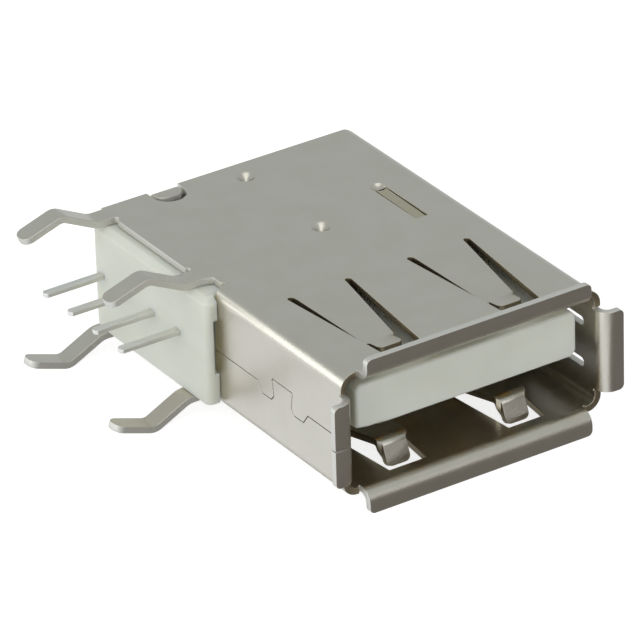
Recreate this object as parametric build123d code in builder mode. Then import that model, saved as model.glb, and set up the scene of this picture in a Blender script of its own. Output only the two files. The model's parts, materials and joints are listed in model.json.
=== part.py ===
"""Shielded socket for a flat four-contact plug, for mounting beside the edge of a board.

A folded steel shell, a moulded insulator and four flat contacts.
+X is right seen from the front, +Y runs into the socket, +Z is up, all in millimetres.
The origin is the centre of the mouth, where the lips start to turn outwards.
"""
from build123d import *
import os

os.makedirs("parts", exist_ok=True)

# Sheet and mouth
sheet = 0.32
mouth_width = 12.56
mouth_height = 5.18
bend_inside = 0.38
shell_length = 18.7

# Lips that flare around the mouth, each cut free of the folds beside it
lip_forward = 0.65
lip_reach = 0.76
lip_corner = 0.25
long_lip_inset = 0.2
short_lip_inset = 0.28
lip_relief_width = 0.1
lip_relief_depth = 0.12

# Spring fingers and their windows, on the top and on the bottom
finger_offset = 3.05
finger_root = 6.9
finger_slot = 0.29
finger_root_bend = 2.0
root_flat = 0.2
finger_anchor = 0.5
window_front = 0.75
window_front_half = 0.97
window_root_half = 1.6
window_corner = 0.2
bottom_window_front = 0.18
crest_half = 0.76
tip_half = 0.6
tip_corner = 0.28
top_crest = 2.4
top_crest_drop = 0.37
top_crest_bend = 0.5
top_tip = 1.42
top_tip_drop = 0.22
bottom_crest = 1.65
bottom_crest_rise = 0.86
bottom_crest_bend = 0.3
bottom_tip = 1.2
bottom_tip_rise = -0.2

# Seam with its dovetail, in the wall on the leg side, with heights from the seam
seam_gap = 0.06
seam_height = -0.12
seam_round = 0.08
dovetail_centre = 4.54
dovetail_rise = 0.57
dovetail_fall = 0.48
dovetail_neck_fall = 0.23
dovetail_head_half = 0.79
dovetail_neck_half = 0.67
dovetail_foot_half = 0.88
dovetail_lug_half = 1.58
dovetail_shoulder_half = 1.94

# Slots in the other wall
wall_slot_front = 0.8
wall_slot_length = 4.2
wall_slot_height = 0.42
wall_slot_offset = 1.0

# Open side and the four legs, placed from the rear edge
rear_leg_inset = 0.6
leg_pitch = 7.0
wall_to_leg = 1.38
edge_overhang = 0.05
edge_relief = 0.53
edge_run_out = 0.15
leg_width = 0.95
leg_straight = 0.86
leg_ramp = 1.74
leg_return = 1.93
leg_peak_rise = 0.86
leg_tip_rise = 0.22
leg_root_bend = 1.0
leg_peak_bend = 0.6
leg_tip_round = 0.42
leg_notch = 0.15

# Rear wall, folded from the wall without the seam, and its two locking tabs
rear_bend_outside = 0.6
rear_fold_length = 0.8
rear_fold_slit = 0.1
rear_plate_gap = 0.12
tab_centre = -3.52
tab_width = 1.3
tab_length = 0.88
tab_bend = 0.18
tab_round = 0.4
tab_side_gap = 0.14
tab_front_gap = 0.48

# Dimples of the top sheet, each with its distance from the rear edge
dimple_places = ((0.06, 1.22), (0.14, 7.07))
dimple_radius = 0.75
dimple_depth = 0.22

# Tang lanced out of the top sheet, with a punch mark behind its hinge
tang_centre = 4.15
tang_width = 0.5
tang_length = 3.31
tang_hinge_inset = 5.6
tang_drop = 0.06
tang_slit = 0.06
tang_bend = 2.0
punch_behind_hinge = 0.12
punch_radius = 0.5
punch_depth = 0.16

# Insulator
clearance = 0.03
block_overhang = 0.65
ear_lap = 0.3
block_corner = 0.29
block_chamfer = 0.27
pocket_skin = 0.4
pocket_height = 0.15
pocket_half = 1.28
pocket_depth = 0.5
tab_room = 0.5
tongue_side_gap = 0.68
tongue_top_gap = 0.64
tongue_thickness = 2.16
tongue_front = 0.36
tongue_top_round = 0.35
tongue_chamfer = 0.25
tongue_edge = 0.15
tongue_sweep_length = 1.6
tongue_sweep_rise = 0.15
groove_clearance = 0.1
groove_depth = 0.5
nose_length = 0.65

# Contacts
contact_sheet = 0.2
contact_width = 1.0
contact_places = (-3.5, -1.0, 1.0, 3.5)
contact_inset = 0.31
contact_tip = 1.35
contact_tip_rise = 0.12
contact_crest = 3.2
contact_crest_drop = 0.6
contact_straight = 1.08
contact_bend = 0.9
leg_to_tail = 0.65
tail_pitch = 2.05
tail_width = 0.42
tail_reach = 2.95
tail_chamfer = 0.12

# Sizes that follow from the ones above
shell_width = mouth_width + 2 * sheet
shell_height = mouth_height + 2 * sheet
bend_outside = bend_inside + sheet
flat_half_width = shell_width / 2 - bend_outside
flat_half_height = shell_height / 2 - bend_outside
rear_wall_half = flat_half_height - rear_fold_slit
inner_half_height = mouth_height / 2
middle_height = inner_half_height + sheet / 2
middle_side = mouth_width / 2 + sheet / 2
lip_bend = lip_forward - sheet / 2
long_lip_half = flat_half_width - long_lip_inset
short_lip_half = flat_half_height - short_lip_inset
window_slope = (window_root_half - window_front_half) / (finger_root - window_front)
finger_root_half = window_root_half - finger_slot
leg_centres = (shell_length - rear_leg_inset - leg_pitch, shell_length - rear_leg_inset)
side_wall_end = leg_centres[0] - wall_to_leg
sheet_edge = shell_width / 2 + edge_overhang
rear_middle = shell_length - sheet / 2
tab_front = shell_length - tab_length
tab_notch_half = tab_width / 2 + tab_side_gap
tang_hinge = shell_length - tang_hinge_inset
tang_front = tang_hinge - tang_length
block_half_height = inner_half_height - clearance
block_right = mouth_width / 2 - clearance
block_left = shell_width / 2 + block_overhang
block_front = side_wall_end - ear_lap
block_rear = shell_length - sheet - clearance
tongue_half = mouth_width / 2 - tongue_side_gap
tongue_top = inner_half_height - tongue_top_gap
tongue_bottom = tongue_top - tongue_thickness
contact_height = tongue_bottom + contact_inset
tail_tip = block_left + tail_reach


def bent_strip(plane, points, bends, width, thickness=sheet):
    """A strip that follows bends along its middle, drawn on a plane across its width."""
    with BuildPart() as strip:
        with BuildSketch(plane):
            with BuildLine():
                FilletPolyline(*points, radius=bends)
            trace(line_width=thickness)
        extrude(amount=width / 2, both=True)
    return strip.part


def lip(outward, wall, half_length):
    """A lip that leaves the mouth's wall forwards and turns outwards."""
    out = Vector(*outward)
    forward = Vector(0, -1, 0)
    plane = Plane(origin=out * wall, x_dir=out, z_dir=out.cross(forward))
    path = (
        (0, -lip_relief_depth - sheet),
        (0, lip_forward - sheet / 2),
        (lip_reach + sheet / 2, lip_forward - sheet / 2),
    )
    with BuildPart() as flare:
        add(bent_strip(plane, path, [lip_bend], 2 * half_length))
        ends = flare.edges().filter_by(Axis.Y).sort_by_distance((0, 0, 0))[-2:]
        fillet(ends, radius=lip_corner)
    return flare.part


def finger_window(centre, side, front):
    """The window around a finger, with a round slot end on each side of the root."""
    front_half = window_root_half - (finger_root - front) * window_slope
    slot_middle = window_root_half - finger_slot / 2
    with BuildPart() as window:
        with BuildSketch():
            with BuildLine():
                Polyline(
                    (centre - front_half, front),
                    (centre + front_half, front),
                    (centre + window_root_half, finger_root),
                    (centre - window_root_half, finger_root),
                    close=True,
                )
            make_face()
            fillet(vertices().group_by(Axis.Y)[0], radius=window_corner)
            with Locations((centre - slot_middle, finger_root), (centre + slot_middle, finger_root)):
                Circle(finger_slot / 2)
        extrude(amount=side * shell_height)
    return window.part


def finger(centre, side, crest, crest_inset, crest_bend, tip, tip_inset):
    """A spring finger: flat root, bend, ramp into the mouth, crest and turned-back tip."""
    path = (
        (finger_root + finger_anchor, side * middle_height),
        (finger_root - root_flat, side * middle_height),
        (crest, side * (middle_height - crest_inset)),
        (tip, side * (middle_height - tip_inset)),
    )
    shoulder = crest - (crest_half - tip_half)
    with BuildPart() as spring:
        bends = [finger_root_bend, crest_bend]
        add(bent_strip(Plane.YZ.offset(centre), path, bends, 2 * finger_root_half))
        with BuildSketch(Plane.XY.offset(-shell_height)):
            with BuildLine():
                Polyline(
                    (centre - finger_root_half, finger_root + finger_anchor),
                    (centre - finger_root_half, finger_root),
                    (centre - crest_half, crest),
                    (centre - tip_half, shoulder),
                    (centre - tip_half, 0),
                    (centre + tip_half, 0),
                    (centre + tip_half, shoulder),
                    (centre + crest_half, crest),
                    (centre + finger_root_half, finger_root),
                    (centre + finger_root_half, finger_root + finger_anchor),
                    close=True,
                )
            make_face()
        extrude(amount=2 * shell_height, mode=Mode.INTERSECT)
        end_face = spring.faces().sort_by(Axis.Y)[0]
        fillet(end_face.edges().filter_by(Axis.X, reverse=True), radius=tip_corner)
    return spring.part


def leg(centre, side):
    """A kinked leg: it ramps away from the sheet, peaks and comes part of the way back."""
    ramp_start = shell_width / 2 + leg_straight
    peak = ramp_start + leg_ramp
    path = (
        (-flat_half_width, side * middle_height),
        (-ramp_start, side * middle_height),
        (-peak, side * (middle_height + leg_peak_rise)),
        (-peak - leg_return, side * (middle_height + leg_tip_rise)),
    )
    with BuildPart() as kinked:
        bends = [leg_root_bend, leg_peak_bend]
        add(bent_strip(Plane.XZ.offset(-centre), path, bends, leg_width))
        end_face = kinked.faces().sort_by(Axis.X)[0]
        fillet(end_face.edges().filter_by(Axis.Y, reverse=True), radius=leg_tip_round)
    return kinked.part


def rear_tab(side):
    """A tab that rises from the rear wall and folds forwards into a notch."""
    path = (
        (rear_middle, side * (rear_wall_half - sheet)),
        (rear_middle, side * middle_height),
        (tab_front, side * middle_height),
    )
    with BuildPart() as tab:
        add(bent_strip(Plane.YZ.offset(tab_centre), path, [tab_bend], tab_width))
        end_face = tab.faces().sort_by(Axis.Y)[0]
        fillet(end_face.edges().filter_by(Axis.X, reverse=True), radius=tab_round)
    return tab.part


def tab_notch(side, height=0):
    """The round-ended notch that a rear tab lies in, cut outwards from a height."""
    with BuildPart() as notch:
        with BuildSketch(Plane.XY.offset(side * height)):
            with Locations((tab_centre, tab_front - tab_front_gap + tab_notch_half)):
                Circle(tab_notch_half)
                Rectangle(2 * tab_notch_half, shell_length, align=(Align.CENTER, Align.MIN))
        extrude(amount=side * shell_height)
    return notch.part


def dimple_ball(place, gap):
    """The ball that presses a dimple into the top sheet, widened all over by a gap."""
    x, from_rear = place
    with BuildPart() as ball:
        with Locations((x, shell_length - from_rear, shell_height / 2 - dimple_depth + dimple_radius)):
            Sphere(dimple_radius + gap)
        split(bisect_by=Plane.XY.offset(shell_height / 2 + sheet), keep=Keep.BOTTOM)
    return ball.part


lips = [
    lip((0, 0, 1), middle_height, long_lip_half),
    lip((0, 0, -1), middle_height, long_lip_half),
    lip((1, 0, 0), middle_side, short_lip_half),
    lip((-1, 0, 0), middle_side, short_lip_half),
]

windows = []
fingers = []
for centre in (-finger_offset, finger_offset):
    windows.append(finger_window(centre, 1, window_front))
    windows.append(finger_window(centre, -1, bottom_window_front))
    fingers.append(
        finger(centre, 1, top_crest, top_crest_drop, top_crest_bend, top_tip, top_tip_drop)
    )
    fingers.append(
        finger(
            centre, -1, bottom_crest, bottom_crest_rise, bottom_crest_bend,
            bottom_tip, bottom_tip_rise,
        )
    )

legs = [leg(centre, side) for centre in leg_centres for side in (1, -1)]
notches = [tab_notch(side) for side in (1, -1)]
tabs = [rear_tab(side) for side in (1, -1)]

rear_wall = bent_strip(
    Plane.XY,
    (
        (middle_side, shell_length - rear_fold_length - sheet),
        (middle_side, rear_middle),
        (tab_centre - tab_width / 2, rear_middle),
    ),
    [rear_bend_outside - sheet / 2],
    2 * rear_wall_half,
)
with BuildPart() as rear_plate:
    with BuildSketch(Plane.XZ.offset(-shell_length)):
        with Locations((tab_centre - tab_width / 2, 0)):
            Rectangle(
                flat_half_width - tab_centre + tab_width / 2 - sheet,
                2 * (inner_half_height - rear_plate_gap),
                align=(Align.MIN, Align.CENTER),
            )
    extrude(amount=sheet)

tang = bent_strip(
    Plane.YZ.offset(tang_centre),
    (
        (tang_hinge + sheet, middle_height),
        (tang_hinge - root_flat, middle_height),
        (tang_front + tang_slit, middle_height - tang_drop),
    ),
    [tang_bend],
    tang_width,
)

# The back of each dimple, a bump that stands into the insulator
bumps = []
for place in dimple_places:
    with BuildPart() as bump:
        add(dimple_ball(place, sheet))
        split(bisect_by=Plane.XY.offset(middle_height), keep=Keep.BOTTOM)
    bumps.append(bump.part)

# The shell
with BuildPart() as shell:
    # Tube with four folded edges
    with BuildSketch(Plane.XZ):
        RectangleRounded(shell_width, shell_height, bend_outside)
        RectangleRounded(mouth_width, mouth_height, bend_inside, mode=Mode.SUBTRACT)
    extrude(amount=-shell_length)

    # Side wall and its two folds end where the insulator comes out
    with BuildSketch(Plane.XY.offset(-shell_height)):
        with Locations((-shell_width / 2, (side_wall_end + shell_length) / 2)):
            Rectangle(2 * bend_outside, shell_length - side_wall_end)
    extrude(amount=2 * shell_height, mode=Mode.SUBTRACT)

    # Flat edges of the top and bottom sheets on the open side, notched beside the legs
    for height in (inner_half_height, -inner_half_height - sheet):
        with BuildSketch(Plane.XY.offset(height)):
            with BuildLine():
                Polyline(
                    (-flat_half_width + sheet, side_wall_end),
                    (-flat_half_width, side_wall_end),
                    (-sheet_edge + edge_relief, side_wall_end + edge_run_out),
                    (-sheet_edge + edge_relief, leg_centres[0] - leg_width / 2 - leg_notch),
                    (-sheet_edge, leg_centres[0] - leg_width / 2),
                    (-sheet_edge, shell_length),
                    (-flat_half_width + sheet, shell_length),
                    close=True,
                )
            make_face()
            with Locations(
                (-sheet_edge, leg_centres[0] + leg_width / 2 + leg_notch),
                (-sheet_edge, leg_centres[1] - leg_width / 2 - leg_notch),
            ):
                Circle(leg_notch, mode=Mode.SUBTRACT)
        extrude(amount=sheet)

    # Round the corner of both sheets over the fold of the rear wall
    with BuildSketch(Plane.XY.offset(-shell_height)):
        with Locations((shell_width / 2 - rear_bend_outside, shell_length - rear_bend_outside)):
            Rectangle(
                2 * rear_bend_outside, 2 * rear_bend_outside, align=(Align.MIN, Align.MIN)
            )
            Circle(rear_bend_outside, mode=Mode.SUBTRACT)
    extrude(amount=2 * shell_height, mode=Mode.SUBTRACT)

    # Room for the fold of the rear wall
    with BuildSketch(Plane.YZ.offset(flat_half_width)):
        with Locations((shell_length - rear_fold_length, 0)):
            Rectangle(shell_length, 2 * flat_half_height, align=(Align.MIN, Align.CENTER))
    extrude(amount=shell_width, mode=Mode.SUBTRACT)

    # Notches in both sheets, and the rear wall with its tabs in them
    add(notches, mode=Mode.SUBTRACT)
    add([rear_wall, rear_plate.part])
    add(tabs)

    # Windows and spring fingers
    add(windows, mode=Mode.SUBTRACT)
    add(fingers)

    # Relief cuts in the rim beside the lips, and the lips
    with BuildSketch(Plane.XY.offset(-shell_height)):
        with Locations(
            *[(side * (long_lip_half + lip_relief_width / 2), 0) for side in (-1, 1)]
        ):
            Rectangle(lip_relief_width, 2 * lip_relief_depth)
    extrude(amount=2 * shell_height, mode=Mode.SUBTRACT)
    with BuildSketch(Plane.YZ.offset(-shell_width)):
        with Locations(
            *[(0, side * (short_lip_half + lip_relief_width / 2)) for side in (-1, 1)]
        ):
            Rectangle(2 * lip_relief_depth, lip_relief_width)
    extrude(amount=2 * shell_width, mode=Mode.SUBTRACT)
    add(lips)

    # Seam where the two edges of the sheet meet, locked by a dovetail
    half_outline = (
        (dovetail_shoulder_half, seam_height),
        (dovetail_lug_half, seam_height - dovetail_fall),
        (dovetail_foot_half, seam_height - dovetail_fall),
        (dovetail_neck_half, seam_height - dovetail_neck_fall),
        (dovetail_head_half, seam_height + dovetail_rise),
    )
    seam_points = [(side_wall_end + sheet, seam_height)]
    seam_points += [(dovetail_centre + half, height) for half, height in half_outline]
    seam_points += [(dovetail_centre - half, height) for half, height in reversed(half_outline)]
    seam_points += [(-lip_forward - sheet, seam_height)]
    with BuildSketch(Plane.YZ.offset(-shell_width)):
        with BuildLine():
            FilletPolyline(*seam_points, radius=seam_round)
        trace(line_width=seam_gap)
    extrude(amount=shell_width - flat_half_width, mode=Mode.SUBTRACT)

    # Two slots in the wall without the seam
    with BuildSketch(Plane.YZ.offset(flat_half_width)):
        with Locations(
            *[
                (wall_slot_front + wall_slot_length / 2, side * wall_slot_offset)
                for side in (-1, 1)
            ]
        ):
            SlotOverall(wall_slot_length, wall_slot_height)
    extrude(amount=shell_width, mode=Mode.SUBTRACT)

    # Legs
    add(legs)

    # Lanced tang in the top sheet, and the punch mark behind it
    with BuildSketch(Plane.XY.offset(inner_half_height)):
        with Locations((tang_centre, tang_front)):
            Rectangle(
                tang_width + 2 * tang_slit, tang_length, align=(Align.CENTER, Align.MIN)
            )
    extrude(amount=shell_height, mode=Mode.SUBTRACT)
    add(tang)
    with Locations(
        (
            tang_centre, tang_hinge + punch_behind_hinge,
            shell_height / 2 - punch_depth + punch_radius,
        )
    ):
        Sphere(punch_radius, mode=Mode.SUBTRACT)

    # Dimples pressed into the top sheet
    add(bumps)
    add([dimple_ball(place, 0) for place in dimple_places], mode=Mode.SUBTRACT)

# The four contacts
contacts = []
for index, place in enumerate(contact_places):
    tail_place = leg_centres[0] + leg_to_tail + index * tail_pitch
    path = (
        (tail_place + tail_width / 2, contact_height),
        (block_front - contact_straight, contact_height),
        (contact_crest, contact_height - contact_crest_drop),
        (contact_tip, contact_height + contact_tip_rise),
    )
    with BuildPart() as contact:
        add(
            bent_strip(
                Plane.YZ.offset(place), path, [contact_bend, contact_bend],
                contact_width, contact_sheet,
            )
        )
        with BuildSketch(Plane.XY.offset(contact_height - contact_sheet / 2)):
            with Locations((-tail_tip, tail_place)):
                Rectangle(
                    tail_tip + place + contact_width / 2, tail_width,
                    align=(Align.MIN, Align.CENTER),
                )
            chamfer(vertices().group_by(Axis.X)[0], length=tail_chamfer)
        extrude(amount=contact_sheet)
    contact.part.label = f"contact_{index + 1}"
    contacts.append(contact.part)

# The insulator
with BuildPart() as insulator:
    # Block that fills the rear of the shell and stands out on the leg side
    with BuildSketch(Plane.XY.offset(-block_half_height)):
        with Locations((-block_left, block_front)):
            Rectangle(
                block_left + block_right, block_rear - block_front,
                align=(Align.MIN, Align.MIN),
            )
    extrude(amount=2 * block_half_height)
    upright = insulator.edges().filter_by(Axis.Z)
    fillet(upright.group_by(Axis.X)[0].sort_by(Axis.Y)[0], radius=block_corner)
    fillet(upright.group_by(Axis.X)[-1].sort_by(Axis.Y)[-1], radius=rear_bend_outside - sheet)
    outer_face = insulator.faces().filter_by(Axis.X).sort_by(Axis.X)[0]
    chamfer(outer_face.edges().filter_by(Axis.Y).sort_by(Axis.Z)[-1], length=block_chamfer)
    inner_face = insulator.faces().filter_by(Axis.X).sort_by(Axis.X)[-1]
    fillet(inner_face.edges().filter_by(Axis.Y), radius=bend_inside)

    # Slot that takes the end of the side wall and its folds, and the pocket outside it
    with BuildSketch(Plane.XZ.offset(-block_front)):
        with Locations((-shell_width / 2 - clearance, 0)):
            Rectangle(
                bend_outside + 2 * clearance, shell_height, align=(Align.MIN, Align.CENTER)
            )
    extrude(amount=-ear_lap - clearance, mode=Mode.SUBTRACT)
    with BuildSketch(Plane.XZ.offset(-block_front)):
        with Locations((-block_left + pocket_skin, pocket_height)):
            Rectangle(
                block_left - pocket_skin - block_right, 2 * pocket_half,
                align=(Align.MIN, Align.CENTER),
            )
    extrude(amount=-pocket_depth, mode=Mode.SUBTRACT)

    # Tongue, swept up along the bottom on the leg side
    with BuildSketch(Plane.XZ.offset(-tongue_front)):
        with BuildLine():
            Polyline(
                (-tongue_half, tongue_bottom + tongue_sweep_rise),
                (-tongue_half, tongue_top),
                (tongue_half, tongue_top),
                (tongue_half, tongue_bottom + tongue_chamfer),
                (tongue_half - tongue_chamfer, tongue_bottom),
                (-tongue_half + tongue_sweep_length, tongue_bottom),
            )
            TangentArc(
                (-tongue_half + tongue_sweep_length, tongue_bottom),
                (-tongue_half, tongue_bottom + tongue_sweep_rise),
                tangent=(-1, 0),
            )
        make_face()
        fillet(vertices().group_by(Axis.Y)[-1], radius=tongue_top_round)
    extrude(amount=tongue_front - block_front - sheet)
    front_face = insulator.faces().sort_by(Axis.Y)[0]
    fillet(front_face.edges(), radius=tongue_edge)

    # Grooves under the tongue for the contacts to spring into
    with BuildSketch(Plane.XY.offset(tongue_bottom + groove_depth)):
        with Locations(*[(place, tongue_front + nose_length) for place in contact_places]):
            Rectangle(
                contact_width + 2 * groove_clearance,
                block_front - tongue_front - nose_length,
                align=(Align.CENTER, Align.MIN),
            )
    extrude(amount=-2 * groove_depth, mode=Mode.SUBTRACT)

    # Room under the tang and around the backs of the dimples
    with BuildSketch(Plane.XY.offset(inner_half_height - tang_drop - clearance)):
        with Locations((tang_centre, tang_hinge)):
            Rectangle(
                tang_width + 2 * tang_slit, tang_hinge - block_front,
                align=(Align.CENTER, Align.MAX),
            )
    extrude(amount=shell_height, mode=Mode.SUBTRACT)
    add([dimple_ball(place, sheet + clearance) for place in dimple_places], mode=Mode.SUBTRACT)

    # Room for the tabs to fold into
    room_height = block_half_height - tab_room
    add([tab_notch(side, room_height) for side in (1, -1)], mode=Mode.SUBTRACT)

    # Contacts are moulded in
    add(contacts, mode=Mode.SUBTRACT)

shell.part.label = "shell"
insulator.part.label = "insulator"
export_step(shell.part, "parts/shell.step")
export_step(insulator.part, "parts/insulator.step")
for contact_part in contacts:
    export_step(contact_part, f"parts/{contact_part.label}.step")
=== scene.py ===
# %% [markdown]
# # A shielded socket for a flat plug
#
# The real thing is a small stamped and folded steel shell around a moulded plastic block, with
# four flat contacts that leave the block on one side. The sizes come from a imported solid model,
# which this script loads as a fixed frame. What is added here is what the eye reads as real:
# edges that are rolled over or sheared, the grain of rolled and plated steel, the soft look of
# moulded plastic, and light like that of a product picture.

# %% Load the frame
import bmesh
import bpy
import json
import math
from mathutils import Matrix, Vector


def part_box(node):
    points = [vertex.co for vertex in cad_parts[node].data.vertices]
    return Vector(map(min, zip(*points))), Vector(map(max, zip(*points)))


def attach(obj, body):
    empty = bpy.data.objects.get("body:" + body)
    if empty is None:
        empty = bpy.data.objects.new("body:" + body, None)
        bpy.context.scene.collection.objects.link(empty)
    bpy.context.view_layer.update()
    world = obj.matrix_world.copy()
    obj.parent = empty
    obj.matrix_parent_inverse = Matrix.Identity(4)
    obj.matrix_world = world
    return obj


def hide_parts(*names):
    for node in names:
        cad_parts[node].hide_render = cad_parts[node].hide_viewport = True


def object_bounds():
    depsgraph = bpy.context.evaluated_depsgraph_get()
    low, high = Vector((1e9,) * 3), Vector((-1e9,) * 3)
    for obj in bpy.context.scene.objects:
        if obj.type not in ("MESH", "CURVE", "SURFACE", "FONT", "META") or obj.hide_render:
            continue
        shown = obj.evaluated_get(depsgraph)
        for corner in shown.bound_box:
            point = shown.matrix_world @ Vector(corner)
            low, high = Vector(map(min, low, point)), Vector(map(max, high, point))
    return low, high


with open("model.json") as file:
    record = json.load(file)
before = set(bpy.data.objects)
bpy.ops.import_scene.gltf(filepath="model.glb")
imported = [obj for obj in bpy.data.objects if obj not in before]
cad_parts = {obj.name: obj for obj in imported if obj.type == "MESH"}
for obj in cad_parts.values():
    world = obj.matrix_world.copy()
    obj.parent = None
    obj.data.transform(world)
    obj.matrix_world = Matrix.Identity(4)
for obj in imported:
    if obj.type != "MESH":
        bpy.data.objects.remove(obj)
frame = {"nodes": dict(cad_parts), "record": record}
cad_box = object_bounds()
MM = 0.001
scene = bpy.context.scene
scene.view_settings.view_transform = "Standard"
print("nodes:", sorted(frame["nodes"]))
print("size in mm:", [round((high - low) / MM, 2) for low, high in zip(*cad_box)])

# %% [markdown]
# ## The camera
#
# The picture was taken from far away with a long lens, from the front left and above, so the
# edges that run into the socket stay almost parallel. A camera can be set by eye, but here the
# straight folds of the shell give its place: it is written as the three angles, the distance
# and the focal length that make those folds fall where the picture has them.

# %% Camera
IMAGE_WIDTH = 640
SENSOR_WIDTH = 36.0
FOCAL_PIXELS = 6610.7
AZIMUTH = math.radians(-32.616)
ELEVATION = math.radians(28.697)
ROLL = math.radians(1.733)
CAMERA_PLACE = Vector((-135.753, -200.413, 136.165)) * MM
NEAREST_SEEN = 10 * MM
FARTHEST_SEEN = 10000 * MM


def camera_turn(azimuth, elevation, roll):
    """The turn of a camera that looks back along a direction given by two angles, then rolls."""
    back = Vector((
        math.sin(azimuth) * math.cos(elevation),
        -math.cos(azimuth) * math.cos(elevation),
        math.sin(elevation),
    ))
    right = Vector((0, 0, 1)).cross(back).normalized()
    up = back.cross(right)
    level = Matrix((right, up, back)).transposed()
    return level @ Matrix.Rotation(-roll, 3, "Z")


camera_data = bpy.data.cameras.new("camera")
camera_data.sensor_width = SENSOR_WIDTH
camera_data.lens = SENSOR_WIDTH * FOCAL_PIXELS / IMAGE_WIDTH
camera_data.clip_start = NEAREST_SEEN
camera_data.clip_end = FARTHEST_SEEN
camera = bpy.data.objects.new("camera", camera_data)
camera.matrix_world = Matrix.LocRotScale(
    CAMERA_PLACE, camera_turn(AZIMUTH, ELEVATION, ROLL), None
)
scene.collection.objects.link(camera)
scene.camera = camera
print("lens in mm:", round(camera_data.lens, 2))

# %% [markdown]
# ## Helpers for colours and nodes
#
# Colours are written as the sRGB hex values that a picture shows, and one function turns them
# into the linear values that a shader works with. A second one adds a node to a tree, sets its
# properties and inputs, and links its inputs, so that a material reads from top to bottom. The
# values of a noise lie around a half, and nearly all of them are in the range set here, so this
# range is what a ramp's two colours are spread over.

# %% Colour and node helpers
NOISE_RANGE = (0.3, 0.7)


def colour(text):
    """The linear colour of an sRGB hex value, by the curve of the sRGB standard."""
    values = [int(text[i:i + 2], 16) / 255 for i in (0, 2, 4)]
    linear = [v / 12.92 if v <= 0.04045 else ((v + 0.055) / 1.055) ** 2.4 for v in values]
    return (*linear, 1.0)


def add_node(tree, kind, settings=None, inputs=None, links=None):
    """Adds a node, sets its properties and inputs, and links its inputs to other sockets."""
    node = tree.nodes.new(kind)
    for name, value in (settings or {}).items():
        setattr(node, name, value)
    for name, value in (inputs or {}).items():
        node.inputs[name].default_value = value
    for name, socket in (links or {}).items():
        tree.links.new(socket, node.inputs[name])
    return node


def new_material(name):
    """An empty material, with its tree, its output and the place on the object for patterns."""
    material = bpy.data.materials.new(name)
    material.use_nodes = True
    tree = material.node_tree
    tree.nodes.clear()
    output = add_node(tree, "ShaderNodeOutputMaterial")
    place = add_node(tree, "ShaderNodeTexCoord").outputs["Object"]
    return material, tree, output, place


def set_stops(ramp, dark, light):
    """Spreads a ramp's two colours over the range that a noise fills."""
    stops = zip(ramp.color_ramp.elements, NOISE_RANGE, (dark, light))
    for element, position, text in stops:
        element.position = position
        element.color = colour(text)


print("a mid grey in linear light:", [round(v, 3) for v in colour("808080")[:3]])

# %% [markdown]
# ## Nickel plated sheet
#
# The shell is cold rolled steel, plated with nickel after it is stamped and folded. Plating
# follows the rolled surface, so the skin is neither polished nor blasted: it is satin and even,
# with a faint drift where the bath was uneven and a very fine orange peel. The peel's grains
# are about 0.04 mm wide, which is what one pixel covers here, so they are drawn about twice as
# coarse. Nickel is a warm metal, and that warmth builds up where the sheet mirrors itself
# inside the mouth, until it is brown.

# %% Nickel plated sheet
PEEL = 0.09 * MM
MOTTLE = 1.6 * MM


def nickel_plated_sheet():
    """Satin nickel on rolled steel, with a fine orange peel and a faint drift in its gloss."""
    material, tree, output, place = new_material("nickel_plated_sheet")
    peel = add_node(
        tree, "ShaderNodeTexNoise",
        inputs={"Scale": 1 / PEEL, "Detail": 2.0, "Roughness": 0.5},
        links={"Vector": place},
    )
    mottle = add_node(
        tree, "ShaderNodeTexNoise",
        inputs={"Scale": 1 / MOTTLE, "Detail": 4.0, "Roughness": 0.55},
        links={"Vector": place},
    )
    tint = add_node(tree, "ShaderNodeValToRGB", links={"Fac": mottle.outputs["Fac"]})
    set_stops(tint, "C9C3B5", "CEC8BB")
    low, high = NOISE_RANGE
    roughness = add_node(
        tree, "ShaderNodeMapRange",
        inputs={"From Min": low, "From Max": high, "To Min": 0.28, "To Max": 0.32},
        links={"Value": mottle.outputs["Fac"]},
    )
    bump = add_node(
        tree, "ShaderNodeBump",
        inputs={"Strength": 0.4, "Distance": 0.02 * MM},
        links={"Height": peel.outputs["Fac"]},
    )
    shader = add_node(
        tree, "ShaderNodeBsdfPrincipled",
        inputs={"Metallic": 1.0},
        links={
            "Base Color": tint.outputs["Color"],
            "Roughness": roughness.outputs["Result"],
            "Normal": bump.outputs["Normal"],
        },
    )
    tree.links.new(shader.outputs["BSDF"], output.inputs["Surface"])
    return material


sheet_skin = nickel_plated_sheet()
print("made", sheet_skin.name)

# %% [markdown]
# ## Sheared edges, plated and with painted shade
#
# Where the punch went through the sheet, the edge is torn rather than rolled. On the outline of
# the part, as along the legs, the plated edge scatters light widely, and so it looks pale from
# every side while the satin skin beside it can go dark. Inside the narrow windows and slots, and
# around the mouth's rim, the same steel is coloured a dark brown, which is painted shade: it
# stands for the shade that falls on these edges. The narrow tongue lanced in the top was dragged
# along the punch before it was plated, so its face is duller than the skin. All three are the
# same torn steel, with tear marks about 0.05 mm wide, and differ in their colours and gloss, so
# one function makes them.

# %% Sheared edges
TEAR = 0.05 * MM


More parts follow.
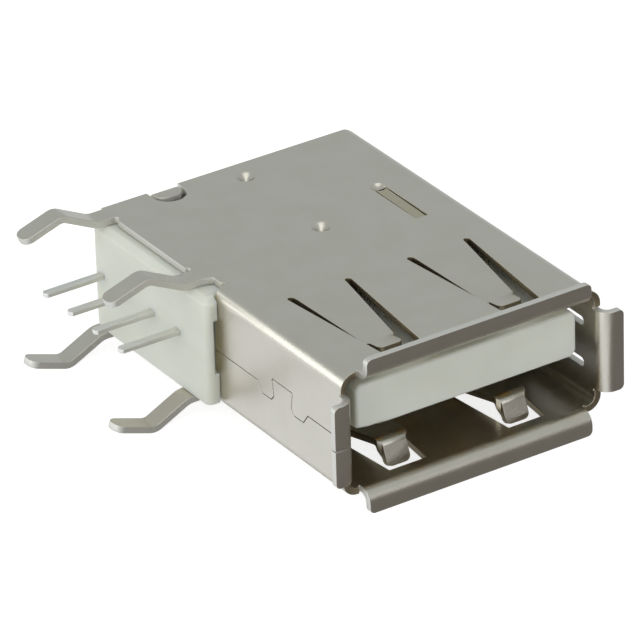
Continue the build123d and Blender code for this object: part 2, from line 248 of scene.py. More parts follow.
def torn_steel(name, dark, light, metallic, roughness):
    """Steel torn by the punch, which is rougher and more uneven than the rolled skin."""
    material, tree, output, place = new_material(name)
    tear = add_node(
        tree, "ShaderNodeTexNoise",
        inputs={"Scale": 1 / TEAR, "Detail": 3.0, "Roughness": 0.65},
        links={"Vector": place},
    )
    tint = add_node(tree, "ShaderNodeValToRGB", links={"Fac": tear.outputs["Fac"]})
    set_stops(tint, dark, light)
    bump = add_node(
        tree, "ShaderNodeBump",
        inputs={"Strength": 0.25, "Distance": 0.006 * MM},
        links={"Height": tear.outputs["Fac"]},
    )
    shader = add_node(
        tree, "ShaderNodeBsdfPrincipled",
        inputs={"Metallic": metallic, "Roughness": roughness},
        links={"Base Color": tint.outputs["Color"], "Normal": bump.outputs["Normal"]},
    )
    tree.links.new(shader.outputs["BSDF"], output.inputs["Surface"])
    return material


plated_shear = torn_steel(
    "plated_sheared_steel", "CBC9C1", "DAD8D0", metallic=0.7, roughness=0.5
)
# Painted shade: this darker brown copy of the torn steel paints the shade on the edges in the
# windows, the slots and around the mouth's rim.
shaded_shear = torn_steel(
    "shaded_sheared_steel", "8C8068", "A69A82", metallic=1.0, roughness=0.45
)
lanced_face = torn_steel("lanced_steel", "B4AB93", "C6BEA8", metallic=1.0, roughness=0.35)
print("made", plated_shear.name + ",", shaded_shear.name, "and", lanced_face.name)

# %% [markdown]
# ## Moulded insulator
#
# The block and its tongue are one moulding in a glass filled nylon, in its natural off white.
# The mould was spark eroded, which leaves a fine even matt, and the material lets a little
# light in, so its edges look soft. The grain of such a mould is about 0.04 mm wide, and it is
# drawn three times as coarse, so that it shows. The colour drifts very slightly with the flow
# of the melt.

# %% Moulded nylon
SPARK_GRAIN = 0.12 * MM
MELT_FLOW = 3.0 * MM


def moulded_nylon():
    """Off white nylon with a spark eroded matt, which lets a little light in."""
    material, tree, output, place = new_material("moulded_nylon")
    grain = add_node(
        tree, "ShaderNodeTexNoise",
        inputs={"Scale": 1 / SPARK_GRAIN, "Detail": 2.0, "Roughness": 0.5},
        links={"Vector": place},
    )
    flow = add_node(
        tree, "ShaderNodeTexNoise",
        inputs={"Scale": 1 / MELT_FLOW, "Detail": 3.0, "Roughness": 0.5},
        links={"Vector": place},
    )
    tint = add_node(tree, "ShaderNodeValToRGB", links={"Fac": flow.outputs["Fac"]})
    set_stops(tint, "D6D9CE", "DEE1D7")
    bump = add_node(
        tree, "ShaderNodeBump",
        inputs={"Strength": 0.2, "Distance": 0.006 * MM},
        links={"Height": grain.outputs["Fac"]},
    )
    shader = add_node(
        tree, "ShaderNodeBsdfPrincipled",
        inputs={
            "Roughness": 0.5,
            "IOR": 1.53,
            "Subsurface Weight": 0.8,
            "Subsurface Radius": (1.0, 0.85, 0.7),
            "Subsurface Scale": 0.9 * MM,
        },
        links={"Base Color": tint.outputs["Color"], "Normal": bump.outputs["Normal"]},
    )
    tree.links.new(shader.outputs["BSDF"], output.inputs["Surface"])
    return material


nylon = moulded_nylon()
print("made", nylon.name)

# %% [markdown]
# ## Plated contacts
#
# The contacts are a spring brass. Their tails are tin plated, so that solder takes to them: tin
# is softer and paler than nickel and scatters more. The springs under the tongue are gold
# plated, so that they don't tarnish where the plug slides on them. The brass was rolled, which
# leaves fine lines in it. Here they run along the tails, the part that is in view, and they are
# drawn about as wide as one pixel, because the real ones are too fine to show. One function
# makes the two metals.

# %% Plated brass
ROLLED_LINE_WIDTH = 0.05 * MM
ROLLED_LINE_LENGTH = 1.5 * MM


def plated_brass(name, dark, light, roughness):
    """A plating on rolled brass, with fine lines along the tail."""
    material, tree, output, place = new_material(name)
    across = 1 / ROLLED_LINE_WIDTH
    stretched = add_node(
        tree, "ShaderNodeMapping",
        inputs={"Scale": (1 / ROLLED_LINE_LENGTH, across, across)},
        links={"Vector": place},
    )
    lines = add_node(
        tree, "ShaderNodeTexNoise",
        inputs={"Scale": 1.0, "Detail": 2.0, "Roughness": 0.5},
        links={"Vector": stretched.outputs["Vector"]},
    )
    tint = add_node(tree, "ShaderNodeValToRGB", links={"Fac": lines.outputs["Fac"]})
    set_stops(tint, dark, light)
    bump = add_node(
        tree, "ShaderNodeBump",
        inputs={"Strength": 0.2, "Distance": 0.004 * MM},
        links={"Height": lines.outputs["Fac"]},
    )
    shader = add_node(
        tree, "ShaderNodeBsdfPrincipled",
        inputs={"Metallic": 1.0, "Roughness": roughness},
        links={"Base Color": tint.outputs["Color"], "Normal": bump.outputs["Normal"]},
    )
    tree.links.new(shader.outputs["BSDF"], output.inputs["Surface"])
    return material


tin = plated_brass("tin_plated_brass", "D6D4CC", "F0EEE8", roughness=0.5)
gold = plated_brass("gold_plated_brass", "E0AC4C", "EABB60", roughness=0.25)
print("made", tin.name, "and", gold.name)

# %% [markdown]
# ## Whole faces from loose triangles
#
# A loaded node is a mesh of loose triangles, and it stays as it is. A copy of it has its
# triangles joined and its flat faces made whole, so that an edge in the copy is an edge of the
# real thing wherever the surface turns by more than a small angle.

# %% Joining
SAME_POINT = 0.003 * MM
FLAT = math.radians(0.6)
SHARP = math.radians(35)


def joined_copy(node_name):
    """A copy of a node's mesh with its triangles joined and its flat faces made whole."""
    mesh = frame["nodes"][node_name].data.copy()
    mesh.materials.clear()
    work = bmesh.new()
    work.from_mesh(mesh)
    bmesh.ops.remove_doubles(work, verts=work.verts, dist=SAME_POINT)
    bmesh.ops.dissolve_degenerate(work, dist=SAME_POINT, edges=work.edges)
    bmesh.ops.dissolve_limit(work, angle_limit=FLAT, verts=work.verts, edges=work.edges)
    work.to_mesh(mesh)
    work.free()
    return mesh


def is_sharp(edge):
    """True for an edge that the eye sees as one."""
    return len(edge.link_faces) != 2 or edge.calc_face_angle(math.pi) > SHARP


print("an edge is sharp over", round(math.degrees(SHARP)), "degrees")

# %% [markdown]
# ## Rounded edges
#
# A solid model has edges with no width, and real edges catch the light because they have one.
# A bevel in the shader would fake that and be lost in the mesh, so the edges are rounded in the
# mesh itself. Each sharp edge gets a weight, from a rule that knows where it lies, and the
# modifier rounds it by that share of the full width.


# %% Rounding
def full_weight(place):
    """The rule for a piece whose sharp edges are all rounded alike."""
    return 1.0


def soften(mesh, weight_at):
    """Weights the sharp edges for the bevel, by a rule for the place of an edge's middle."""
    work = bmesh.new()
    work.from_mesh(mesh)
    weight = work.edges.layers.float.new("bevel_weight_edge")
    for edge in work.edges:
        if is_sharp(edge):
            edge[weight] = weight_at((edge.verts[0].co + edge.verts[1].co) / 2)
    work.to_mesh(mesh)
    work.free()


def rounded_object(name, mesh, materials, width, segments, weight_at=full_weight):
    """An object from a mesh, with its sharp edges rounded in the mesh itself."""
    soften(mesh, weight_at)
    for material in materials:
        mesh.materials.append(material)
    piece = bpy.data.objects.new(name, mesh)
    scene.collection.objects.link(piece)
    bevel = piece.modifiers.new("rounded edges", "BEVEL")
    bevel.width = width
    bevel.segments = segments
    bevel.limit_method = "WEIGHT"
    bevel.use_clamp_overlap = False
    flat_look = piece.modifiers.new("flat faces stay flat", "WEIGHTED_NORMAL")
    flat_look.keep_sharp = True
    mesh.shade_smooth()
    graph = bpy.context.evaluated_depsgraph_get()
    finished = bpy.data.meshes.new_from_object(piece.evaluated_get(graph))
    piece.modifiers.clear()
    piece.data = finished
    used = [face.material_index for face in finished.polygons]
    print(name, "faces:", len(used), "of each material:", [used.count(i) for i in set(used)])
    return piece


# %% [markdown]
# ## Which faces of the sheet are sheared
#
# The shell is one strip of sheet, folded into a tube with a seam on the leg side. Its faces are
# told apart by how wide they are. Faces that meet smoothly make up a patch, and twice a patch's
# area divided by the length of its sharp outline is its width. A patch about as wide as the
# sheet is thick is a sheared edge, and its place says whether it gets the painted shade: it does
# around the rim of the mouth and in the windows. The lanced tongue is found by its place,
# between two slits whose own faces keep the skin. A place counts as on a plane when it is no
# more than a hair away from it.

# %% Sheared faces
SHEET = 0.32 * MM
SHEARED_WIDTHS = (0.55 * SHEET, 1.25 * SHEET)
TOP = 2.91 * MM
TOP_SHEET_FROM = TOP - 2 * SHEET
HAIR = 0.01 * MM
WINDOW_SIDE = 5.2 * MM
WINDOW_END = 15.0 * MM
LANCED_MIDDLE = 4.15 * MM
LANCED_HALF = 0.32 * MM
LANCED_FRONT = 9.7 * MM
LANCED_HINGE = 13.05 * MM
# The third material is the darker copy of the sheared steel, which paints shade on edges.
SHELL_MATERIALS = [sheet_skin, plated_shear, shaded_shear, lanced_face]
SKIN, PLATED, SHADED_SHEAR, LANCED = range(len(SHELL_MATERIALS))


def smooth_patches(work):
    """The faces of a mesh, grouped where they meet without a sharp edge."""
    left = set(work.faces)
    while left:
        patch = {left.pop()}
        waiting = list(patch)
        while waiting:
            for edge in waiting.pop().edges:
                if is_sharp(edge):
                    continue
                near = [face for face in edge.link_faces if face in left]
                left.difference_update(near)
                patch.update(near)
                waiting.extend(near)
        yield patch


def mark_patches(mesh, index_for):
    """Gives each smooth patch the material index that a rule names for its width and place."""
    work = bmesh.new()
    work.from_mesh(mesh)
    for patch in smooth_patches(work):
        area = sum(face.calc_area() for face in patch)
        outline = {edge for face in patch for edge in face.edges if is_sharp(edge)}
        width = 2 * area / sum(edge.calc_length() for edge in outline)
        middle = sum((face.calc_center_median() for face in patch), Vector()) / len(patch)
        for face in patch:
            face.material_index = index_for(width, middle)
    work.to_mesh(mesh)
    work.free()


def sheet_index(width, place):
    """Which of the shell's materials a patch has, by its width and its middle."""
    aside = abs(place.x - LANCED_MIDDLE)
    if aside < 2 * LANCED_HALF and place.y > LANCED_FRONT and place.z > TOP_SHEET_FROM:
        return LANCED if aside < LANCED_HALF and place.y < LANCED_HINGE else SKIN
    least, most = SHEARED_WIDTHS
    if not least < width < most:
        return SKIN
    in_a_window = abs(place.x) < WINDOW_SIDE and HAIR < place.y < WINDOW_END
    on_the_rim = abs(place.y) < HAIR
    # Edges in the windows and on the mouth's rim get the darker copy that paints their shade.
    return SHADED_SHEAR if in_a_window or on_the_rim else PLATED


shell_mesh = joined_copy("shell")
mark_patches(shell_mesh, sheet_index)
marked = [face.material_index for face in shell_mesh.polygons]
print("faces of each material:", [marked.count(i) for i in range(len(SHELL_MATERIALS))])

# %% [markdown]
# ## Two dents in the top
#
# The dents are struck with a pointed punch, which leaves a cone that runs out into the sheet.
# The solid has a round bowl of the same width there. On the copy the bowl's edges are divided,
# so that it has more points, and these are moved onto that cone. The faces with many corners
# that this leaves are cut into triangles, because their corners no longer lie in one plane.

# %% Dents
DENTS = [Vector((0.06, 17.48, 0)) * MM, Vector((0.14, 11.63, 0)) * MM]
DENT_REACH = 0.54 * MM
DENT_DEPTH = 0.44 * MM
DENT_POWER = 1.6
DENT_CUTS = 2
UPPER_SIDE_FROM = TOP - 0.9 * SHEET
BELOW_SKIN = TOP - 0.1 * HAIR


def from_middle(place, middle):
    """How far a place is from a dent's middle, seen from above."""
    return (place - middle).to_2d().length


def is_bowl(place, middle):
    """True for a place on the upper side of the sheet that is within a dent's reach."""
    return from_middle(place, middle) < DENT_REACH and place.z > UPPER_SIDE_FROM


def is_dented(place):
    """True for a place that is within the reach of a dent and below the skin around it."""
    near = any(from_middle(place, middle) < DENT_REACH for middle in DENTS)
    return near and TOP_SHEET_FROM < place.z < BELOW_SKIN


def press_dents(mesh):
    """Gives the bowls more points, moves these down onto a cone and says how many they are."""
    work = bmesh.new()
    work.from_mesh(mesh)
    moved = 0
    for middle in DENTS:
        inner = [
            edge for edge in work.edges
            if all(is_bowl(vertex.co, middle) for vertex in edge.verts)
            and min(vertex.co.z for vertex in edge.verts) < TOP - HAIR
        ]
        bmesh.ops.subdivide_edges(work, edges=inner, cuts=DENT_CUTS, use_grid_fill=True)
        for vertex in work.verts:
            if is_bowl(vertex.co, middle) and vertex.co.z < BELOW_SKIN:
                share = 1 - from_middle(vertex.co, middle) / DENT_REACH
                vertex.co.z = TOP - DENT_DEPTH * share ** DENT_POWER
                moved += 1
    many_cornered = [
        face for face in work.faces
        if len(face.verts) > 4 and is_dented(face.calc_center_median())
    ]
    bmesh.ops.triangulate(work, faces=many_cornered)
    work.to_mesh(mesh)
    work.free()
    return moved


print("points moved in the dents:", press_dents(shell_mesh))

# %% [markdown]
# ## The shell
#
# The rolled over edges of stamped sheet are a few hundredths of a millimetre wide. Along the
# seam the two halves were pressed together, so its edges are rolled over only half as much.

# %% Shell
ROLLED_EDGE = 0.025 * MM
SEAM_EASE = 0.5
SEAM_WALL = -6.2 * MM
SEAM_HEIGHT = -0.12 * MM
SEAM_REACH = 0.75 * MM
SEAM_END = 9.8 * MM


def seam_weight(place):
    """The share of the full width by which an edge is rolled over: less along the seam."""
    in_reach = abs(place.z - SEAM_HEIGHT) < SEAM_REACH
    on_the_seam = place.x < SEAM_WALL and in_reach and place.y < SEAM_END
    return SEAM_EASE if on_the_seam else full_weight(place)


shell = rounded_object(
    "shell_dressed", shell_mesh, SHELL_MATERIALS, ROLLED_EDGE, segments=2, weight_at=seam_weight
)
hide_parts("shell")
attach(shell, "root")

# %% [markdown]
# ## The insulator
#
# A moulding's edges take the radius of the cutter that made the mould, here a few hundredths
# of a millimetre, so they are rounder than those of the sheet and get one step more.

# %% Insulator
MOULD_RADIUS = 0.03 * MM

insulator = rounded_object(
    "insulator_dressed", joined_copy("insulator"), [nylon], MOULD_RADIUS, segments=3
)
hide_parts("insulator")
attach(insulator, "root")

# %% [markdown]
# ## The contacts
#
# Each contact is a strip of brass that follows a bent path under the tongue, with a narrow tail
# that turns off to the side and out through the block. All four are the same but for where the
# strip and its tail lie. That is a rule, so a node tree makes them, in three steps: the strip,
# the tail, and the two joined. The places that differ are its inputs, and are read from the
# frame. The sizes that they share are set here.

# %% Sizes of the contacts
STRIP_WIDTH = 1.0 * MM
STRIP_SHEET = 0.2 * MM
STRIP_BEND = 0.9 * MM
BEND_STEPS = 6
CREST_DROP = 0.6 * MM
TIP_RISE = 0.12 * MM
TIP_TO_CREST = 1.85 * MM
TAIL_WIDTH = 0.42 * MM
TAIL_CHAMFER = 0.12 * MM
PLACES = ("Strip place", "Strip tip", "Bend start", "Tail place", "Tail tip", "Height")
print("strip:", round(STRIP_WIDTH / MM, 2), "by", round(STRIP_SHEET / MM, 2), "mm")

# %% [markdown]
# ## The strip
#
# A line of four points is laid out, each point is moved to its place by its number, and the line
# becomes a curve. Its corners are rounded as the strip's bends are, and a rectangle of the
# strip's width and thickness is swept along it. The curve's normal is kept upright, so that the
# rectangle doesn't roll on its way.


# %% Strip of the contact tree
def swept_strip(tree, given, over_tail):
    """The strip, from its end over the tail, by its bend and its crest, to its tip."""
    place, height = given["Strip place"], given["Height"]
    at_tip = add_node(
        tree, "ShaderNodeCombineXYZ", links={"X": place, "Y": given["Strip tip"], "Z": height}
    )
    bend = add_node(
        tree, "ShaderNodeCombineXYZ", links={"X": place, "Y": given["Bend start"], "Z": height}
    )
    strip_end = add_node(
        tree, "ShaderNodeVectorMath", inputs={1: (0, TAIL_WIDTH / 2, 0)}, links={0: over_tail}
    )
    crest = add_node(
        tree, "ShaderNodeVectorMath",
        inputs={1: (0, TIP_TO_CREST, -CREST_DROP)}, links={0: at_tip.outputs[0]},
    )
    tip = add_node(
        tree, "ShaderNodeVectorMath", inputs={1: (0, 0, TIP_RISE)}, links={0: at_tip.outputs[0]}
    )
    path = [strip_end.outputs[0], bend.outputs[0], crest.outputs[0], tip.outputs[0]]
    pick = add_node(tree, "GeometryNodeIndexSwitch", {"data_type": "VECTOR"})
    while len(pick.index_switch_items) < len(path):
        pick.index_switch_items.new()
    tree.links.new(add_node(tree, "GeometryNodeInputIndex").outputs[0], pick.inputs["Index"])
    for number, point in enumerate(path):
        tree.links.new(point, pick.inputs[number + 1])
    line = add_node(tree, "GeometryNodeMeshLine", {"mode": "OFFSET"}, {"Count": len(path)})
    laid = add_node(
        tree, "GeometryNodeSetPosition",
        links={"Geometry": line.outputs[0], "Position": pick.outputs[0]},
    )
    curve = add_node(tree, "GeometryNodeMeshToCurve", links={"Mesh": laid.outputs[0]})
    bent = add_node(
        tree, "GeometryNodeFilletCurve", {"mode": "POLY"},
        {"Radius": STRIP_BEND, "Count": BEND_STEPS}, {"Curve": curve.outputs[0]},
    )
    upright = add_node(
        tree, "GeometryNodeSetCurveNormal", {"mode": "Z_UP"}, links={"Curve": bent.outputs[0]}
    )
    section = add_node(
        tree, "GeometryNodeCurvePrimitiveQuadrilateral",
        inputs={"Width": STRIP_WIDTH, "Height": STRIP_SHEET},
    )
    strip = add_node(
        tree, "GeometryNodeCurveToMesh",
        inputs={"Fill Caps": True},
        links={"Curve": upright.outputs[0], "Profile Curve": section.outputs[0]},
    )
    return strip.outputs[0]


# %% [markdown]
# ## The tail
#
# The tail is a bar that starts at the far side of the strip. The face at its other end is the
# only one whose normal points well to the left. It is drawn out once more and made narrower,
# which gives the tip its two chamfers and leaves the thickness as it is.

# %% Tail of the contact tree
WELL_LEFT = -0.5


def chamfered_tail(tree, given, over_tail):
    """The tail: a bar up to the far side of the strip, with its end drawn out and narrowed."""
    tail_tip = add_node(
        tree, "ShaderNodeCombineXYZ",
        links={"X": given["Tail tip"], "Y": given["Tail place"], "Z": given["Height"]},
    )
    shoulder = add_node(
        tree, "ShaderNodeVectorMath",
        inputs={1: (TAIL_CHAMFER, 0, 0)}, links={0: tail_tip.outputs[0]},
    )
    far_side = add_node(
        tree, "ShaderNodeVectorMath", inputs={1: (STRIP_WIDTH / 2, 0, 0)}, links={0: over_tail}
    )
    length = add_node(
        tree, "ShaderNodeVectorMath", {"operation": "SUBTRACT"},
        links={0: far_side.outputs[0], 1: shoulder.outputs[0]},
    )
    size = add_node(
        tree, "ShaderNodeVectorMath",
        inputs={1: (0, TAIL_WIDTH, STRIP_SHEET)}, links={0: length.outputs[0]},
    )
    halfway = add_node(
        tree, "ShaderNodeMix", {"data_type": "VECTOR"}, {"Factor": 0.5},
        {"A": shoulder.outputs[0], "B": far_side.outputs[0]},
    )
    bar = add_node(tree, "GeometryNodeMeshCube", links={"Size": size.outputs[0]})
    placed = add_node(
        tree, "GeometryNodeTransform",
        links={"Geometry": bar.outputs["Mesh"], "Translation": halfway.outputs["Result"]},
    )
    facing = add_node(
        tree, "ShaderNodeSeparateXYZ",
        links={"Vector": add_node(tree, "GeometryNodeInputNormal").outputs[0]},
    )
    is_end = add_node(
        tree, "FunctionNodeCompare", {"operation": "LESS_THAN"}, {"B": WELL_LEFT},
        {"A": facing.outputs["X"]},
    )
    drawn_out = add_node(
        tree, "GeometryNodeExtrudeMesh", {"mode": "FACES"}, {"Offset Scale": TAIL_CHAMFER},
        {"Mesh": placed.outputs[0], "Selection": is_end.outputs[0]},
    )
    narrowed = add_node(
        tree, "GeometryNodeScaleElements", {"domain": "FACE", "scale_mode": "SINGLE_AXIS"},
        {"Scale": 1 - 2 * TAIL_CHAMFER / TAIL_WIDTH, "Axis": (0, 1, 0)},
        {"Geometry": drawn_out.outputs["Mesh"], "Selection": drawn_out.outputs["Top"]},
    )
    return narrowed.outputs[0]


# %% [markdown]
# ## The whole contact
#
# The strip and the tail are made one solid by a union, so that no face is left inside. The tree
# then sets two materials: tin all over, and gold where the contact lies before the start of its
# bend, which is the spring.


# %% Contact tree
def contact_tree(all_over, on_spring):
    """A node tree that builds one contact from the places of its strip, its tail and its tips."""
    tree = bpy.data.node_groups.new("contact_strip", "GeometryNodeTree")
    tree.interface.new_socket("Geometry", in_out="OUTPUT", socket_type="NodeSocketGeometry")
    for name in PLACES:
        tree.interface.new_socket(name, in_out="INPUT", socket_type="NodeSocketFloat")
    given = add_node(tree, "NodeGroupInput").outputs
    over_tail = add_node(
        tree, "ShaderNodeCombineXYZ",
        links={"X": given["Strip place"], "Y": given["Tail place"], "Z": given["Height"]},
    ).outputs[0]
    joined = add_node(tree, "GeometryNodeMeshBoolean", {"operation": "UNION", "solver": "EXACT"})
    tree.links.new(swept_strip(tree, given, over_tail), joined.inputs["Mesh 2"])
    tree.links.new(chamfered_tail(tree, given, over_tail), joined.inputs["Mesh 2"])
    real = add_node(
        tree, "GeometryNodeRealizeInstances", links={"Geometry": joined.outputs["Mesh"]}
    )
    coated = add_node(
        tree, "GeometryNodeSetMaterial", inputs={"Material": all_over},
        links={"Geometry": real.outputs[0]},
    )
    where = add_node(
        tree, "ShaderNodeSeparateXYZ",
        links={"Vector": add_node(tree, "GeometryNodeInputPosition").outputs[0]},
    )
    is_spring = add_node(
        tree, "FunctionNodeCompare", {"operation": "LESS_THAN"},
        links={"A": where.outputs["Y"], "B": given["Bend start"]},
    )
    finished = add_node(
        tree, "GeometryNodeSetMaterial", inputs={"Material": on_spring},
        links={"Geometry": coated.outputs[0], "Selection": is_spring.outputs[0]},
    )
    add_node(tree, "NodeGroupOutput", links={"Geometry": finished.outputs[0]})
    return tree


contact_maker = contact_tree(tin, gold)
print("contact tree nodes:", len(contact_maker.nodes))

# %% [markdown]
# ## Four contacts from one tree
#
# The tree goes on an empty mesh as a modifier, and its inputs are set before the first look at
# the result, because a value that is set later isn't always seen. The result is then copied
# into a plain mesh, its edges are rounded as on the other pieces, and it takes its node's place.
# The strip's end leans a little at its tip, so its box reaches past the tip's own point.

# %% Contacts
COINED_EDGE = 0.02 * MM
BLOCK_FRONT = 9.42 * MM
BLOCK_TO_BEND = 1.08 * MM
TIP_LEAN = STRIP_SHEET / 4
tails = next(mount for mount in frame["record"]["mounts"] if mount["name"] == "contact_tails")


def places_of(node_name):
    """The tree's inputs, read from the box of the node that a contact stands for."""
    low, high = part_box(node_name)
    return {
        "Strip place": high.x - STRIP_WIDTH / 2,
        "Strip tip": low.y + TIP_LEAN,
        "Bend start": BLOCK_FRONT - BLOCK_TO_BEND,
        "Tail place": high.y - TAIL_WIDTH / 2,
        "Tail tip": low.x,
        "Height": tails["pos_m"][2],
    }


def contact(node_name):
    """One contact, built by the tree, rounded, and put in the place of its node."""
    values = places_of(node_name)
    holder = bpy.data.objects.new("holder", bpy.data.meshes.new("holder"))
    scene.collection.objects.link(holder)
    maker = holder.modifiers.new("contact", "NODES")
    maker.node_group = contact_maker
    for item in contact_maker.interface.items_tree:
        if item.in_out == "INPUT":
            maker[item.identifier] = values[item.name]
    graph = bpy.context.evaluated_depsgraph_get()
    mesh = bpy.data.meshes.new_from_object(holder.evaluated_get(graph))
    bpy.data.objects.remove(holder)
    work = bmesh.new()
    work.from_mesh(mesh)
    bmesh.ops.remove_doubles(work, verts=work.verts, dist=SAME_POINT)
    bmesh.ops.dissolve_limit(
        work, angle_limit=FLAT, verts=work.verts, edges=work.edges, delimit={"MATERIAL"}
    )
    bmesh.ops.recalc_face_normals(work, faces=work.faces)
    work.to_mesh(mesh)
    work.free()
    piece = rounded_object(node_name + "_dressed", mesh, [], COINED_EDGE, segments=2)
    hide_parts(node_name)
    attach(piece, "root")
    return piece


contacts = [contact(name) for name in sorted(frame["nodes"]) if name.startswith("contact_")]
print("contacts made:", len(contacts))

# %% [markdown]
# ## Floor
#
# The picture shows the part on pure white. The floor is a sheet of paper that the camera sees
# as white wherever no shadow falls: it gets an even glow, and over it the light of the lamps,
# which the part's shadow takes away. Mirror rays pass through it into the lower half of the
# room, which is the same pale table, but without the noise of the lamps on it. Right under the
# part most of them do meet the paper, because it lies in the part's own shadow there: that
# darkness, seen through the lower windows, is what makes the inside of the mouth deep.

# %% Paper
UNDER_MIDDLE = Vector((0, 9.3, 0)) * MM
UNDER_HALF = Vector((6.6, 9.3, 1)) * MM
UNDER_UP_TO = 0.95
BESIDE_FROM = 1.1
PASSING_UNDER = 0.3
PAPER_GLOW = 0.78


def paper_floor():
    """Glowing paper to the camera, clear to mirror rays, and plain paper under the part."""
    material, tree, output, place = new_material("white_paper")
    rays = add_node(tree, "ShaderNodeLightPath").outputs
    paper = add_node(
        tree, "ShaderNodeBsdfDiffuse", inputs={"Color": colour("F2F2F0"), "Roughness": 1.0}
    )
    clear = add_node(tree, "ShaderNodeBsdfTransparent")
    offset = add_node(
        tree, "ShaderNodeVectorMath", {"operation": "SUBTRACT"}, {1: UNDER_MIDDLE}, {0: place}
    )
    in_halves = add_node(
        tree, "ShaderNodeVectorMath", {"operation": "DIVIDE"}, {1: UNDER_HALF},
        {0: offset.outputs[0]},
    )
    unsigned = add_node(
        tree, "ShaderNodeVectorMath", {"operation": "ABSOLUTE"}, links={0: in_halves.outputs[0]}
    )
    apart = add_node(tree, "ShaderNodeSeparateXYZ", links={"Vector": unsigned.outputs[0]})
    farthest = add_node(
        tree, "ShaderNodeMath", {"operation": "MAXIMUM"},
        links={0: apart.outputs["X"], 1: apart.outputs["Y"]},
    )
    beside = add_node(
        tree, "ShaderNodeMapRange", {"interpolation_type": "SMOOTHSTEP"},
        {"From Min": UNDER_UP_TO, "From Max": BESIDE_FROM, "To Min": PASSING_UNDER},
        {"Value": farthest.outputs[0]},
    )
    passes = add_node(
        tree, "ShaderNodeMath", {"operation": "MULTIPLY"},
        links={0: rays["Is Glossy Ray"], 1: beside.outputs[0]},
    )
    for_metal = add_node(
        tree, "ShaderNodeMixShader",
        links={"Fac": passes.outputs[0], 1: paper.outputs[0], 2: clear.outputs[0]},
    )
    glow = add_node(
        tree, "ShaderNodeEmission", inputs={"Color": colour("FFFFFF"), "Strength": PAPER_GLOW}
    )
    lit = add_node(
        tree, "ShaderNodeBsdfDiffuse", inputs={"Color": colour("C0C0C0"), "Roughness": 1.0}
    )
    bright = add_node(
        tree, "ShaderNodeAddShader", links={0: glow.outputs[0], 1: lit.outputs[0]}
    )
    for_camera = add_node(
        tree, "ShaderNodeMixShader",
        links={
            "Fac": rays["Is Camera Ray"], 1: for_metal.outputs[0], 2: bright.outputs[0],
        },
    )
    tree.links.new(for_camera.outputs[0], output.inputs["Surface"])
    return material


paper = paper_floor()
print("made", paper.name)

# %% [markdown]
# ## A sheet to stand on
#
# The sheet is one square face, far larger than what the camera sees, at the height of the
# part's lowest point.

# %% Floor
FLOOR_HALF = 2.0
floor_height = cad_box[0][2]
corners = [(-1, -1), (1, -1), (1, 1), (-1, 1)]
floor_mesh = bpy.data.meshes.new("floor")
floor_mesh.from_pydata(
    [(x * FLOOR_HALF, y * FLOOR_HALF, floor_height) for x, y in corners], [], [(0, 1, 2, 3)]
)
floor_mesh.materials.append(paper)
floor = bpy.data.objects.new("floor", floor_mesh)
scene.collection.objects.link(floor)
print("floor at", round(floor_height / MM, 3), "mm")

# %% [markdown]
# ## Light
#
# Satin metal shows its surroundings, blurred, so the surroundings are the lighting. What each
# face of the shell reflects can be read off the picture: the top sheet shows a grey ceiling
# behind the part, the long wall and the lips' bends show a bright left side and a pale table,
# the dents and the rolled over edges that face the camera show a soft box overhead, and the
# fronts of the lips show the dark room under the camera. Each of these is one soft patch of the
# world, set by the direction of its middle and by how far it reaches, as the cosine of the
# angle to it. The ceiling is a little blue, so that warm nickel under it comes out as grey.

# %% World
ROOM_LIGHT = 0.68
WALLS = (0.555, 0.6, 0.625)
# Each patch has the direction of its middle, the cosines where it starts and where it is full,
# and its light: the pale table, the bright left side, the soft box and the dark under the camera
PATCHES = [
    ((0, 0, -1), -0.1, 0.25, (0.88, 0.91, 0.93)),
    ((-0.8, 0.1, -0.55), 0.3, 0.8, (1.01, 1.06, 1.13)),
    ((-0.2, -0.27, 0.94), 0.84, 0.94, (1.45, 1.5, 1.52)),
    ((0.62, -0.67, -0.4), 0.38, 0.78, (0.21, 0.205, 0.2)),
]


def lay_patch(tree, under, direction, patch):
    """Lays one soft patch of light, or of darkness, over what is under it."""
    middle, edge, core, tint = patch
    cosine = add_node(
        tree, "ShaderNodeVectorMath", {"operation": "DOT_PRODUCT"},
        {1: Vector(middle).normalized()}, {0: direction},
    )
    share = add_node(
        tree, "ShaderNodeMapRange", {"interpolation_type": "SMOOTHSTEP"},
        {"From Min": edge, "From Max": core}, {"Value": cosine.outputs["Value"]},
    )
    laid = add_node(
        tree, "ShaderNodeMix", {"data_type": "RGBA"},
        {"B": (*tint, 1.0)}, {"Factor": share.outputs["Result"], "A": under},
    )
    return laid.outputs["Result"]


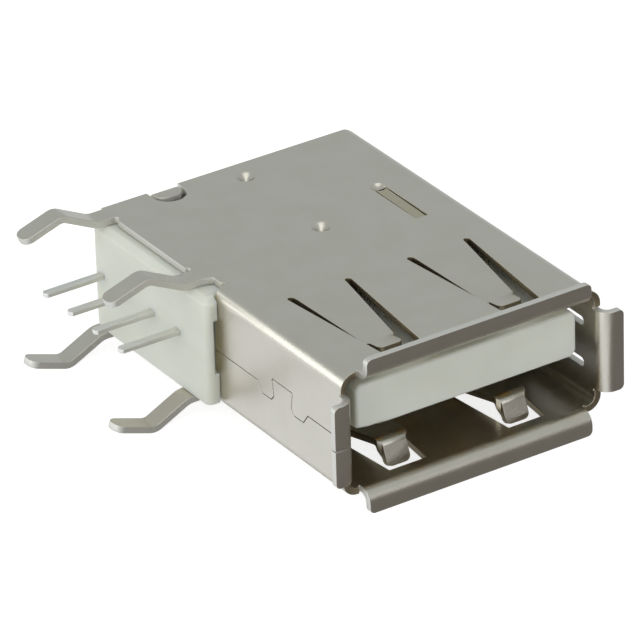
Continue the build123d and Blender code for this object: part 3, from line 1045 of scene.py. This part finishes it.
def soft_room():
    """Even light for what scatters, the room's patches for mirror rays, white for the camera."""
    world = bpy.data.worlds.new("soft_room")
    world.use_nodes = True
    tree = world.node_tree
    tree.nodes.clear()
    output = add_node(tree, "ShaderNodeOutputWorld")
    rays = add_node(tree, "ShaderNodeLightPath").outputs
    direction = add_node(tree, "ShaderNodeTexCoord").outputs["Generated"]
    seen = add_node(tree, "ShaderNodeRGB").outputs[0]
    seen.default_value = (*WALLS, 1.0)
    for patch in PATCHES:
        seen = lay_patch(tree, seen, direction, patch)
    plain = add_node(
        tree, "ShaderNodeBackground", inputs={"Color": colour("FFFFFF"), "Strength": ROOM_LIGHT}
    )
    mirrored = add_node(
        tree, "ShaderNodeBackground", inputs={"Strength": 1.0}, links={"Color": seen}
    )
    white = add_node(
        tree, "ShaderNodeBackground", inputs={"Color": colour("FFFFFF"), "Strength": 1.0}
    )
    for_metal = add_node(
        tree, "ShaderNodeMixShader",
        links={"Fac": rays["Is Glossy Ray"], 1: plain.outputs[0], 2: mirrored.outputs[0]},
    )
    in_view = add_node(
        tree, "ShaderNodeMath", {"operation": "MAXIMUM"},
        links={0: rays["Is Camera Ray"], 1: rays["Is Transmission Ray"]},
    )
    for_camera = add_node(
        tree, "ShaderNodeMixShader",
        links={"Fac": in_view.outputs[0], 1: for_metal.outputs[0], 2: white.outputs[0]},
    )
    tree.links.new(for_camera.outputs[0], output.inputs["Surface"])
    return world


scene.world = soft_room()
print("world:", scene.world.name)

# %% [markdown]
# ## Lamps
#
# Three soft boxes light the plastic and cast the faint shadow on the floor. The one behind on
# the left also mirrors in the fold between the top and the long wall: it is as high and as wide
# as the bright band on that fold asks for. The other two keep the side and the front even.

# %% Lamps
AIM = Vector((0, 8, 0)) * MM


def soft_lamp(name, place, width, height, watts, tint):
    """A large flat lamp that faces the part, with its place and its size in millimetres."""
    data = bpy.data.lights.new(name, "AREA")
    data.shape = "RECTANGLE"
    data.size = width * MM
    data.size_y = height * MM
    data.energy = watts
    data.color = colour(tint)[:3]
    lamp = bpy.data.objects.new(name, data)
    lamp.location = Vector(place) * MM
    lamp.rotation_euler = (lamp.location - AIM).to_track_quat("Z", "Y").to_euler()
    scene.collection.objects.link(lamp)
    return lamp


lamps = [
    soft_lamp("back", (-218, 256, 57), width=200, height=150, watts=0.145, tint="F6FBFF"),
    soft_lamp("side", (-330, -60, 110), width=260, height=220, watts=0.30, tint="FFFFFF"),
    soft_lamp("front", (60, -320, 160), width=240, height=180, watts=0.12, tint="F8FAFF"),
]
print("lamps:", [lamp.name for lamp in lamps])

# %% [markdown]
#
# The dressed part must stay inside the box of the solid model.

print("the dressed part should stay inside the box of the solid model")
